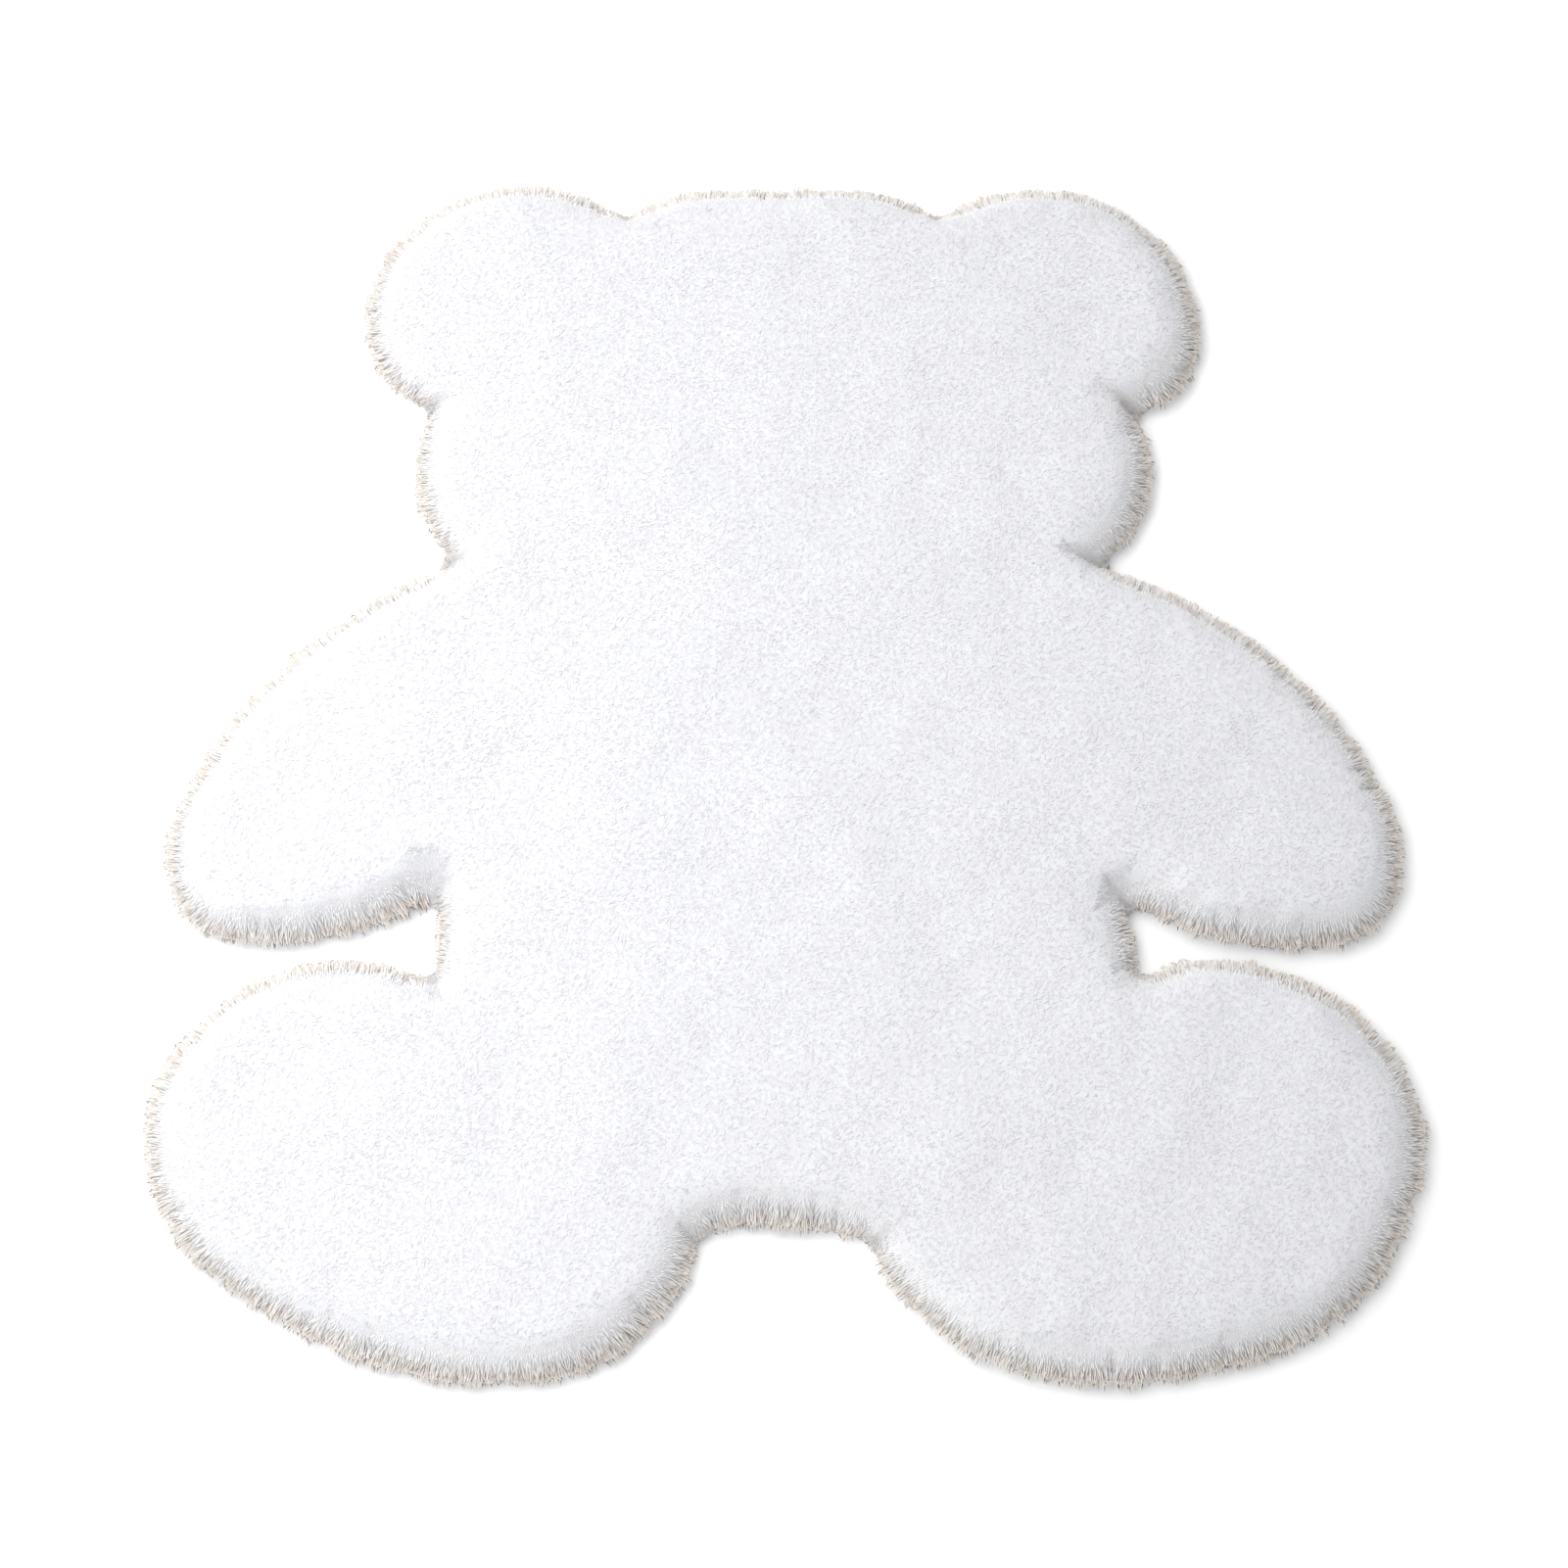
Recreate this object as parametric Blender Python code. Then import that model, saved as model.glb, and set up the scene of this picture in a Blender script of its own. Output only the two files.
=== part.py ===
# Bear shaped rug: one cut piece of deep white pile cloth, lying flat on the floor.
#
# The solid is a low, lumpy slab in the outline of a bear seen from above: a head with two
# round ears and two cheeks, a body, two arms and two broad feet. Its underside is flat, its
# pile rolls over to the rim, and tapered locks of pile stand out all round the rim.
# The origin is under the middle of the rug, on the floor. +Y runs to the top of the head.

from collections import namedtuple

import bmesh
import bpy
import numpy as np
from mathutils import Vector, geometry, noise

# Driving dimensions, in metres
PILE_TOP = 0.030  # floor to the top of the standing pile
RIM_HEIGHT = 0.009  # floor to the notches between the locks
LEAST_HEIGHT = 0.007  # floor to the bottom of the deepest trough
RIM_ROLL = 0.042  # band in which the pile rolls over to the rim
EVEN_BAND = 0.014  # band along the rim in which the mounds and troughs come in
ROLL_POWER = 2.1  # how square that roll is, 2 being a quarter of an ellipse
CLOTH_INSET = 0.012  # fur line to the cut edge of the ground cloth
LOCK_PITCH = 0.0170  # width of a lock at its root
LOCK_NOTCH = 0.006  # fur line in to the notches
LOCK_ROOT = 0.011  # fur line in to the upper end of a lock's root
LOCK_REACH = 0.006  # fur line out to the tip of an average lock
LOCK_SPREAD = 0.40  # share by which the locks differ in length
LOCK_SWEEP = 0.008  # most that a tip is combed to one side
LOCK_WAVE = 0.070  # distance over which neighbouring locks stay alike
LOCK_ARCH = 0.10  # how far a lock's axis arches over, as a share of its root's height
LOCK_DROOP = 0.40  # height of a lock's tip, as a share of its root's height
LEAST_LOCK = 0.0020  # shortest lock, in the creases
LEAST_FULLNESS = 0.4  # how full that one is beside its own root
FACING = 0.25  # how far the rim turns before a lock counts it as across from it
ROOM_TAKEN = 0.4  # how much of the way to the rim across from it a lock may reach
FULL_ROOM = 1.5  # that way, in lock pitches, from which a lock is full
LEAST_CLEARANCE = 0.0008  # floor to the underside of a lock away from its root
TOP_SPACING = 0.027  # distance between the points of the top, away from the rim
RIM_SPACING = 0.015  # distance between them where the pile rolls over
RIM_ROWS = (0.85, 1.85)  # where the rows of points along the rim lie, in those distances
LEAST_ROW = 0.6  # nearest that a point of the middle comes to the rim, in those distances
LEAST_GAP = 0.8  # nearest that two points lie, as a share of their distance
UNDERSIDE_SPACING = 0.070  # distance between the points of the flat underside
SAME_POINT = 1e-7  # two points nearer than this are one
CURVE_STEPS = 10  # points of the fur line from place to place
SEED = 11
MM = 0.001

# The bear's outline down its right-hand side, in millimetres: x outwards from the middle line
# and y upwards from the soles. A crease is a sharp notch. The last two columns say how far
# the left-hand side lies further out and further up at the same place.
Place = namedtuple("Place", "name x y crease left_out left_up")
OUTLINE = (
    Place("crown", 0, 1029, False, 0, 0),
    Place("crown side", 80, 1025, False, -4, 1),
    Place("crease of the ear and the crown", 129, 1006, True, 3, 1),
    Place("top of the ear", 210, 1028, False, -2, 2),
    Place("shoulder of the ear", 292, 1001, False, 0, 6),
    Place("side of the ear", 343, 900, False, 3, 8),
    Place("lobe of the ear", 326, 833, False, -6, 0),
    Place("crease of the ear and the cheek", 291, 807, True, 1, 5),
    Place("cheek", 298, 755, False, 0, 2),
    Place("jaw", 282, 697, False, 1, 0),
    Place("crease of the neck", 258, 669, True, 9, 3),
    Place("shoulder", 333, 629, False, 2, 0),
    Place("upper arm", 405, 566, False, 0, 0),
    Place("elbow", 452, 498, False, -3, 0),
    Place("forearm", 475, 415, False, -2, 5),
    Place("paw", 454, 358, False, -5, 0),
    Place("end of the paw", 401, 339, False, 0, 3),
    Place("under the arm", 325, 346, False, 0, 5),
    Place("armpit", 263, 374, True, 1, 8),
    Place("hip", 271, 318, True, -5, -2),
    Place("thigh", 318, 331, False, 0, -3),
    Place("knee", 388, 314, False, 0, 2),
    Place("shin", 447, 267, False, 0, 0),
    Place("side of the foot", 474, 190, False, -2, 0),
    Place("heel", 448, 107, False, -9, 0),
    Place("outside of the sole", 404, 51, False, -33, 1),
    Place("ball of the foot", 330, 17, False, -38, -1),
    Place("sole", 222, 2, False, -24, -1),
    Place("toes", 142, 21, False, -13, -3),
    Place("inside of the foot", 97, 54, False, -2, -8),
    Place("inside of the leg", 70, 86, False, 0, -6),
    Place("top of the leg", 59, 104, False, -2, 4),
    Place("beside the crotch", 36, 113, False, -4, 6),
    Place("crotch", 0, 119, False, 0, 0),
)

# Troughs in the top of the pile, in the outline's millimetres, each deepest at its start
TROUGH_FADE = 0.8  # share of its depth that a trough has lost at its end
Trough = namedtuple("Trough", "name start end depth width")
TROUGHS = (
    Trough("right ear and cheek", (291, 807), (262, 828), 11, 11),
    Trough("left ear and cheek", (-292, 812), (-260, 820), 9, 11),
    Trough("right side of the neck", (258, 669), (222, 675), 10, 12),
    Trough("left side of the neck", (-267, 672), (-240, 676), 8, 11),
    Trough("right ear and crown", (129, 1006), (124, 985), 6, 12),
    Trough("left ear and crown", (-132, 1007), (-128, 988), 6, 12),
    Trough("right armpit", (263, 374), (252, 390), 9, 12),
    Trough("left armpit", (-264, 382), (-258, 396), 7, 11),
    Trough("right hip", (271, 318), (258, 304), 6, 11),
    Trough("left hip", (-266, 316), (-256, 302), 6, 11),
    Trough("right of the crotch", (58, 109), (86, 116), 6, 10),
    Trough("left of the crotch", (-56, 109), (-76, 112), 4, 10),
    Trough("upper brush mark on the head", (-165, 985), (-15, 835), 2.0, 26),
    Trough("lower brush mark on the head", (-105, 1000), (40, 880), 1.6, 24),
)

# How a lock tapers: the share of its length, and its size there as a share of its root's
Waist = namedtuple("Waist", "along size")
WAISTS = (Waist(0.42, 0.74), Waist(0.78, 0.36))

# Soft mounds in the pile: their height and how far apart they lie, in metres, and the layer
# of noise that they are read from
Mound = namedtuple("Mound", "height apart layer")
MOUNDS = (Mound(0.0035, 0.085, 0.0), Mound(0.0020, 0.036, 7.3))

# How the locks vary along the rim, as shares of their spread: a slow wave, read from a layer
# of noise, with a smaller random part
Variation = namedtuple("Variation", "slow random layer")
LENGTHS = Variation(0.9, 0.6, 3.1)
SWEEPS = Variation(1.1, 0.4, 9.7)

PILE_COLOUR = (0.91, 0.92, 0.95, 1.0)


def clear_scene():
    for old in list(bpy.data.objects):
        bpy.data.objects.remove(old, do_unlink=True)


def outline_places():
    """Every place of the whole outline in order, clockwise from the crown, as (point, crease)."""
    right = [(Vector((p.x, p.y, 0)) * MM, p.crease) for p in OUTLINE]
    left = [
        (Vector((-p.x - p.left_out, p.y + p.left_up, 0)) * MM, p.crease)
        for p in OUTLINE[1:-1]
    ]
    return right + left[::-1]


def draw_outline(collection):
    """The fur line as a closed curve, kept in the file as a guide."""
    places = outline_places()
    data = bpy.data.curves.new("fur_line", "CURVE")
    data.dimensions = "2D"
    data.fill_mode = "NONE"
    data.resolution_u = CURVE_STEPS
    spline = data.splines.new("BEZIER")
    spline.bezier_points.add(len(places) - 1)
    spline.use_cyclic_u = True
    for knot, (point, crease) in zip(spline.bezier_points, places):
        knot.co = point
        kind = "VECTOR" if crease else "AUTO"
        knot.handle_left_type = knot.handle_right_type = kind
    guide = bpy.data.objects.new("fur_line", data)
    guide.hide_render = True
    guide.display_type = "WIRE"
    collection.objects.link(guide)
    return guide


def stretches(guide):
    """The fur line from crease to crease, each stretch as an array of points."""
    bpy.context.view_layer.update()
    line = bpy.data.meshes.new_from_object(
        guide.evaluated_get(bpy.context.evaluated_depsgraph_get())
    )
    points = np.array([v.co[:2] for v in line.vertices])
    bpy.data.meshes.remove(line)
    at = [i * CURVE_STEPS for i, (_, crease) in enumerate(outline_places()) if crease]
    points = np.roll(points, -at[0], axis=0)
    ends = [i - at[0] for i in at] + [len(points)]
    points = np.concatenate([points, points[:1]])
    return [points[a : b + 1] for a, b in zip(ends, ends[1:])]


def step_lengths(stretch):
    return np.linalg.norm(np.diff(stretch, axis=0), axis=1)


def along(stretch, shares):
    """Points, and outward directions, at these shares of a stretch's length."""
    length = np.concatenate([[0], np.cumsum(step_lengths(stretch))])
    wanted = np.asarray(shares) * length[-1]

    def place(s):
        s = np.clip(s, 0, length[-1])
        return np.stack([np.interp(s, length, stretch[:, k]) for k in (0, 1)], 1)

    ahead = place(wanted + LOCK_PITCH / 2) - place(wanted - LOCK_PITCH / 2)
    out = np.stack([-ahead[:, 1], ahead[:, 0]], 1)
    return place(wanted), out / np.linalg.norm(out, axis=1, keepdims=True)


def plan_locks(fur_line):
    """Notch points with their outward directions, and the locks' middles with theirs."""
    notches, notch_out, middles, middle_out = [], [], [], []
    before = along(fur_line[-1], [1])[1][0]
    for stretch in fur_line:
        count = max(1, round(step_lengths(stretch).sum() / LOCK_PITCH))
        points, out = along(stretch, np.arange(count) / count)
        out[0] += before
        before = along(stretch, [1])[1][0]
        notches.append(points)
        notch_out.append(out / np.linalg.norm(out, axis=1, keepdims=True))
        points, out = along(stretch, (np.arange(count) + 0.5) / count)
        middles.append(points)
        middle_out.append(out)
    return [np.concatenate(x) for x in (notches, notch_out, middles, middle_out)]


def distance_to(line, points):
    """How far each point lies from a closed line."""
    a, b = line, np.roll(line, -1, axis=0)
    run = b - a
    square = np.maximum((run**2).sum(1), 1e-12)
    found = []
    for part in np.array_split(points, max(1, len(points) // 400)):
        gap = part[:, None] - a
        share = np.clip((gap * run).sum(2) / square, 0, 1)
        found.append(np.linalg.norm(gap - share[:, :, None] * run, axis=2).min(1))
    return np.concatenate(found)


def trough_depth(points):
    """How far the troughs lower the pile at each point."""
    lowered = np.zeros(len(points))
    for trough in TROUGHS:
        start, end = np.array(trough.start) * MM, np.array(trough.end) * MM
        run = end - start
        share = np.clip((points - start) @ run / (run @ run), 0, 1)
        gap = np.linalg.norm(points - start - share[:, None] * run, axis=1)
        shape = np.exp(-((gap / (trough.width * MM)) ** 2))
        deep = trough.depth * MM * (1 - TROUGH_FADE * share)
        lowered = np.maximum(lowered, deep * shape)
    return lowered


def noise_at(points, apart, layer):
    """Smooth noise of about -0.6 to 0.6, whose hills lie this far apart."""
    return np.array([noise.noise(Vector((x / apart, y / apart, layer))) for x, y in points])


def mounds(points):
    """How far the soft mounds raise or lower the pile at each point."""
    return sum(m.height * noise_at(points, m.apart, m.layer) for m in MOUNDS)


def pile_height(points, inset):
    """Height of the top of the pile at points that lie this far inside the fur line."""
    share = np.clip(inset / RIM_ROLL, 0, 1)
    roll = (1 - (1 - share) ** ROLL_POWER) ** (1 / ROLL_POWER)
    even = RIM_HEIGHT + (PILE_TOP - RIM_HEIGHT) * roll
    uneven = (mounds(points) - trough_depth(points)) * np.clip(inset / EVEN_BAND, 0, 1)
    return np.maximum(even + uneven, LEAST_HEIGHT)


def staggered_grid(low, high, apart):
    """Points in rows, each row half a step along from the one below it."""
    rows = []
    for k, y in enumerate(np.arange(low[1], high[1], apart * 3**0.5 / 2)):
        x = np.arange(low[0] + apart / 2 * (k % 2), high[0], apart)
        rows.append(np.stack([x, np.full(len(x), y)], 1))
    return np.concatenate(rows)


def scatter(line, ring, inset, near, far):
    """Points inside a ring, spaced from near, at its rim, to far, two such steps further in."""
    ahead = np.roll(line, -1, axis=0) - np.roll(line, 1, axis=0)
    out = np.stack([-ahead[:, 1], ahead[:, 0]], 1)
    out /= np.linalg.norm(out, axis=1, keepdims=True)
    rows = [line - out * (inset + near * row) for row in RIM_ROWS]
    wanted = np.concatenate([*rows, staggered_grid(line.min(0), line.max(0), far)])
    wanted = wanted[inside(line, wanted)]
    depth = distance_to(line, wanted)
    spacing = near + (far - near) * np.clip((depth - inset) / (2 * far), 0, 1)
    kept, first = ring, len(ring)
    for point, deep, apart in zip(wanted, depth, spacing):
        gap = np.linalg.norm(kept - point, axis=1).min()
        if deep > inset + near * LEAST_ROW and gap > apart * LEAST_GAP:
            kept = np.vstack([kept, point])
    return kept[first:]


def inside(line, points):
    """Whether each point lies inside a closed line."""
    a, b = line, np.roll(line, -1, axis=0)
    found = np.zeros(len(points), bool)
    for (ax, ay), (bx, by) in zip(a, b):
        if ay == by:
            continue
        spans = (ay > points[:, 1]) != (by > points[:, 1])
        found ^= spans & (points[:, 0] < (bx - ax) * (points[:, 1] - ay) / (by - ay) + ax)
    return found


def fill(ring, middle):
    """Triangles over a ring of points and the points in its middle."""
    flat = [Vector(p) for p in np.concatenate([ring, middle])]
    edges = [(i, (i + 1) % len(ring)) for i in range(len(ring))]
    inside_edges = 1
    _, _, faces, origin, _, _ = geometry.delaunay_2d_cdt(
        flat, edges, [], inside_edges, SAME_POINT
    )
    return [[origin[v][0] for v in face] for face in faces]


def room_ahead(line, middles, out):
    """How far it is from each lock's middle to the rim that it points at, if there is one."""
    room = np.full(len(middles), np.inf)
    for i, (middle, way) in enumerate(zip(middles, out)):
        away = line - middle
        far = np.linalg.norm(away, axis=1)
        across = far[away @ way > FACING * far]
        if len(across):
            room[i] = across.min()
    return room


def in_turn(first, second):
    """Two lists taken in turn: one of the first, one of the second, and so on."""
    return [item for pair in zip(first, second) for item in pair]


def slab_with_locks(fur_line):
    """The rug as one closed mesh: the lumpy slab first, then a lock drawn out of each rim face."""
    line = np.concatenate([s[:-1] for s in fur_line])
    notches, notch_out, middles, middle_out = plan_locks(fur_line)
    count = len(middles)
    low = notches - notch_out * LOCK_NOTCH
    top = middles - middle_out * LOCK_ROOT
    cloth = np.array(in_turn(notches - notch_out * CLOTH_INSET, middles - middle_out * CLOTH_INSET))
    top_ring = np.array(in_turn(low, top))
    top_middle = scatter(line, top_ring, LOCK_ROOT, RIM_SPACING, TOP_SPACING)
    under_middle = scatter(line, cloth, CLOTH_INSET, RIM_SPACING * 2, UNDERSIDE_SPACING)

    bm = bmesh.new()
    lock_of = bm.faces.layers.int.new("lock")

    def add(points, heights):
        return [bm.verts.new((x, y, z)) for (x, y), z in zip(points, heights)]

    low_verts = add(low, RIM_HEIGHT + mounds(low) / 2)
    top_verts = add(top, pile_height(top, distance_to(line, top)))
    cloth_verts = add(cloth, np.zeros(len(cloth)))
    top_inner = add(top_middle, pile_height(top_middle, distance_to(line, top_middle)))
    under_inner = add(under_middle, np.zeros(len(under_middle)))

    for ring, middle, verts in (
        (top_ring, top_middle, in_turn(low_verts, top_verts) + top_inner),
        (cloth, under_middle, cloth_verts + under_inner),
    ):
        for face in fill(ring, middle):
            bm.faces.new([verts[v] for v in face])
    rim = []
    for i in range(count):
        before, corner, under = (cloth_verts[2 * i + k] for k in (-1, 0, 1))
        bm.faces.new((low_verts[i], before, corner))
        bm.faces.new((low_verts[i], corner, under))
        face = bm.faces.new((low_verts[i], under, low_verts[(i + 1) % count], top_verts[i]))
        face[lock_of] = i + 1
        rim.append(face)
    bmesh.ops.recalc_face_normals(bm, faces=bm.faces)
    draw_locks(bm, rim, lock_of, *plan_tips(line, middles, middle_out))
    return bm


def varied(points, kind, rng):
    """One number for each lock, about -1 to 1, like its neighbours' numbers."""
    slow = noise_at(points, LOCK_WAVE, kind.layer)
    return kind.slow * slow + kind.random * rng.uniform(-1, 1, len(points))


def plan_tips(line, middles, out):
    """Where each lock's tip lies, seen from above, and how full the lock is, from 0 to 1."""
    rng = np.random.default_rng(SEED)
    room = room_ahead(line, middles, out)
    reach = LOCK_REACH * (1 + LOCK_SPREAD * varied(middles, LENGTHS, rng))
    reach = np.minimum(reach, np.maximum((room - LEAST_LOCK) * ROOM_TAKEN, LEAST_LOCK))
    freedom = np.clip((reach - LEAST_LOCK) / (LOCK_REACH - LEAST_LOCK), 0, 1)
    combed = LOCK_SWEEP * freedom * varied(middles, SWEEPS, rng)
    aside = np.stack([out[:, 1], -out[:, 0]], 1)
    tips = middles + out * reach[:, None] + aside * combed[:, None]
    return tips, np.clip(room / (FULL_ROOM * LOCK_PITCH), LEAST_FULLNESS, 1)


def draw_locks(bm, rim, lock_of, tips, fullness):
    """Draws a tapered, drooping lock of four sides out of each face of the rim."""
    roots = {face[lock_of]: face.calc_center_median() for face in rim}
    corners = {face[lock_of]: [v.co - roots[face[lock_of]] for v in face.verts] for face in rim}
    faces = rim
    for waist in WAISTS:
        faces = bmesh.ops.extrude_discrete_faces(bm, faces=faces)["faces"]
        for face in faces:
            i = face[lock_of]
            place = lock_axis(roots[i], tips[i - 1], waist.along)
            for vert, corner in zip(face.verts, corners[i]):
                vert.co = place + corner * waist.size * fullness[i - 1]
                vert.co.z = max(vert.co.z, LEAST_CLEARANCE)
    for vert in bmesh.ops.poke(bm, faces=faces)["verts"]:
        i = vert.link_faces[0][lock_of]
        vert.co = lock_axis(roots[i], tips[i - 1], 1)


def lock_axis(root, tip, share):
    """A point of a lock's axis, which arches over and droops to its tip."""
    end = Vector((*tip, root.z * LOCK_DROOP))
    arch = 4 * (share - share**2) * LOCK_ARCH * root.z
    return root.lerp(end, share) + Vector((0, 0, arch))


def plush():
    """White plush pile: matt, with a soft sheen."""
    material = bpy.data.materials.new("white_plush")
    material.use_nodes = True
    shader = material.node_tree.nodes["Principled BSDF"]
    shader.inputs["Base Color"].default_value = PILE_COLOUR
    shader.inputs["Roughness"].default_value = 0.9
    shader.inputs["Metallic"].default_value = 0.0
    shader.inputs["Sheen Weight"].default_value = 0.4
    return material


def stand_on_origin(mesh):
    """Moves the mesh so that the origin is under the middle of its bounding box."""
    points = np.array([v.co for v in mesh.vertices])
    low, high = points.min(0), points.max(0)
    move = np.array([(low[0] + high[0]) / 2, (low[1] + high[1]) / 2, low[2]])
    mesh.vertices.foreach_set("co", (points - move).ravel())
    mesh.update()


def main():
    clear_scene()
    rug = bpy.data.collections.new("Bear shaped rug")
    guides = bpy.data.collections.new("Guides")
    for collection in (rug, guides):
        bpy.context.scene.collection.children.link(collection)

    guide = draw_outline(guides)
    bm = slab_with_locks(stretches(guide))
    mesh = bpy.data.meshes.new("bear_rug")
    bm.to_mesh(mesh)
    bm.free()
    stand_on_origin(mesh)
    mesh.shade_smooth()
    mesh.materials.append(plush())
    rug.objects.link(bpy.data.objects.new("bear_rug", mesh))


main()
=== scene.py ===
import math

import bmesh
import bpy
import numpy as np
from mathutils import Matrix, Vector, geometry
from mathutils.bvhtree import BVHTree


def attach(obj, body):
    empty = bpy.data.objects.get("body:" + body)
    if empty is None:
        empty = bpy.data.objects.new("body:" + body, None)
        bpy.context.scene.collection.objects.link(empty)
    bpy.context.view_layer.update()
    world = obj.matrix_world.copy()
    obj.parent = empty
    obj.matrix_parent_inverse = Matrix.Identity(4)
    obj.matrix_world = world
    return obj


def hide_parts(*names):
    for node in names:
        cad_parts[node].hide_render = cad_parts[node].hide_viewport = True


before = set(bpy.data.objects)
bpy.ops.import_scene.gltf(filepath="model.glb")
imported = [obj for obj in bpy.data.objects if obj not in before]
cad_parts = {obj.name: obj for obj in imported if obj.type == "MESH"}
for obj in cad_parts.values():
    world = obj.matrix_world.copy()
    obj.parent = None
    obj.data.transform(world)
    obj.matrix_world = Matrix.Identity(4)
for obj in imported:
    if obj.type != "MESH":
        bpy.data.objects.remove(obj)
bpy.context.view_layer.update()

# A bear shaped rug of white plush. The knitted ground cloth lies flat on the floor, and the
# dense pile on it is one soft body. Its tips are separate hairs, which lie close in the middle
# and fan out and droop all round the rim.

mm = 0.001
tiny = 0.01 * mm  # two points closer than this are one


def linear(hexColour):
    # an sRGB hex colour as the linear values that shader sockets take
    parts = [int(hexColour[i:i + 2], 16) / 255 for i in (1, 3, 5)]
    return [p / 12.92 if p < 0.04045 else ((p + 0.055) / 1.055) ** 2.4 for p in parts] + [1.0]


def addNode(tree, kind, feeds=None, **settings):
    # a new node with its settings; feeds gives each input a value or another node's socket
    new = tree.nodes.new(kind)
    for name, value in settings.items():
        setattr(new, name, value)
    for key, value in (feeds or {}).items():
        if isinstance(value, bpy.types.NodeSocket):
            tree.links.new(value, new.inputs[key])
        else:
            new.inputs[key].default_value = value
    return new


def newMaterial(name, finish):
    # a material with its tree and shader; finish gives values to the shader's own sockets
    material = bpy.data.materials.new(name)
    material.use_nodes = True
    shader = material.node_tree.nodes["Principled BSDF"]
    for socket, value in finish.items():
        shader.inputs[socket].default_value = value
    return material, material.node_tree, shader


def addObject(name, data):
    thing = bpy.data.objects.new(name, data)
    bpy.context.scene.collection.objects.link(thing)
    return thing


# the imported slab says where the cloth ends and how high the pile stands

lowFace = 0.1 * mm  # a face all below this height belongs to the slab's underside


def readSlab():
    # the slab's own mesh is loose triangles, so a merged copy is read
    bm = bmesh.new()
    bm.from_mesh(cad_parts["bear_rug"].data)
    bmesh.ops.remove_doubles(bm, verts=bm.verts, dist=tiny)
    flat = {f for f in bm.faces if max(v.co.z for v in f.verts) < lowFace}
    # the vertex that follows each one round the rim of the underside
    after = {}
    for face in flat:
        for loop in face.loops:
            if not any(f in flat and f != face for f in loop.edge.link_faces):
                after[loop.vert] = loop.link_loop_next.vert
    vert = min(after, key=lambda v: (v.co.x, v.co.y))
    edge = []
    for _ in after:
        edge.append(vert.co.to_2d())
        vert = after[vert]
    surface = BVHTree.FromBMesh(bm)
    bm.free()
    return np.array(edge), surface


def resample(line, step):
    # points at even steps along a closed line
    closed = np.concatenate([line, line[:1]])
    length = np.concatenate([[0], np.cumsum(np.linalg.norm(np.diff(closed, axis=0), axis=1))])
    wanted = np.linspace(0, length[-1], max(3, round(length[-1] / step)), endpoint=False)
    return np.stack([np.interp(wanted, length, closed[:, k]) for k in (0, 1)], 1)


def insideOf(line, points, batch=500):
    # how far each point lies inside a closed line, below zero outside it, a batch at a time
    a, b = line, np.roll(line, -1, axis=0)
    run = b - a
    square = (run ** 2).sum(1)
    found = []
    for part in np.array_split(points, max(1, len(points) // batch)):
        gap = part[:, None] - a
        share = np.clip((gap * run).sum(2) / square, 0, 1)
        near = np.linalg.norm(gap - share[:, :, None] * run, axis=2).min(1)
        level = part[:, None, 1]
        spans = (a[:, 1] > level) != (b[:, 1] > level)
        rise = np.where(run[:, 1] == 0, 1, run[:, 1])
        cross = spans & (part[:, None, 0] < a[:, 0] + run[:, 0] * (level - a[:, 1]) / rise)
        found.append(np.where(cross.sum(1) % 2, near, -near))
    return np.concatenate(found)


def pileTop(surface, points):
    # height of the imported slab's top at each point, 0 past its edge, from a ray cast down
    down = Vector((0, 0, -1))
    hits = [surface.ray_cast(Vector((x, y, 1)), down)[0] for x, y in points]
    return np.array([hit.z if hit else 0 for hit in hits])


def widen(line, reach, kept=0.97):
    # a closed line moved outwards, without the points near its notches, where they would cross:
    # those end up nearer to the line than the share of the reach that has to be kept
    wider = line + outwards(line) * reach
    clear = insideOf(line, wider) < -kept * reach
    return wider[clear & np.roll(clear, 1) & np.roll(clear, -1)]


def fillOutline(line, middle=()):
    # triangles over a closed line of points and the points inside it
    points = np.concatenate([line, middle]) if len(middle) else line
    edges = [(i, (i + 1) % len(line)) for i in range(len(line))]
    onlyInside, epsilon = 1, 1e-8
    _, _, faces, origin, _, _ = geometry.delaunay_2d_cdt(
        [Vector(p) for p in points], edges, [], onlyInside, epsilon)
    return [[origin[v][0] for v in face] for face in faces]


def band(count):
    # the faces between a closed row of points and the row that is numbered after it
    return [(i, (i + 1) % count, (i + 1) % count + count, i + count) for i in range(count)]


def areaOf(line):
    # the area inside a closed line, below zero where it runs clockwise
    x, y = line.T
    return (x * np.roll(y, -1) - np.roll(x, -1) * y).sum() / 2


def outwards(line):
    # the outward direction at each point of a closed line, whichever way round it runs
    ahead = np.roll(line, -1, axis=0) - np.roll(line, 1, axis=0)
    out = np.stack([ahead[:, 1], -ahead[:, 0]], 1)
    out /= np.linalg.norm(out, axis=1, keepdims=True)
    return out if areaOf(line) > 0 else -out


def finishMesh(name, points, faces, material):
    # a smooth piece, its faces all turned outwards
    mesh = bpy.data.meshes.new(name)
    mesh.from_pydata(points, [], faces)
    bm = bmesh.new()
    bm.from_mesh(mesh)
    bmesh.ops.recalc_face_normals(bm, faces=bm.faces)
    bm.to_mesh(mesh)
    bm.free()
    mesh.shade_smooth()
    mesh.materials.append(material)
    return addObject(name, mesh)


def addToRug(piece):
    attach(piece, "root")
    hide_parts("bear_rug")


clothEdge, slabTop = readSlab()
print("read the slab:", len(clothEdge), "points round the cloth")


# the ground cloth is a thin warp-knitted backing, flat on the floor

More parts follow.
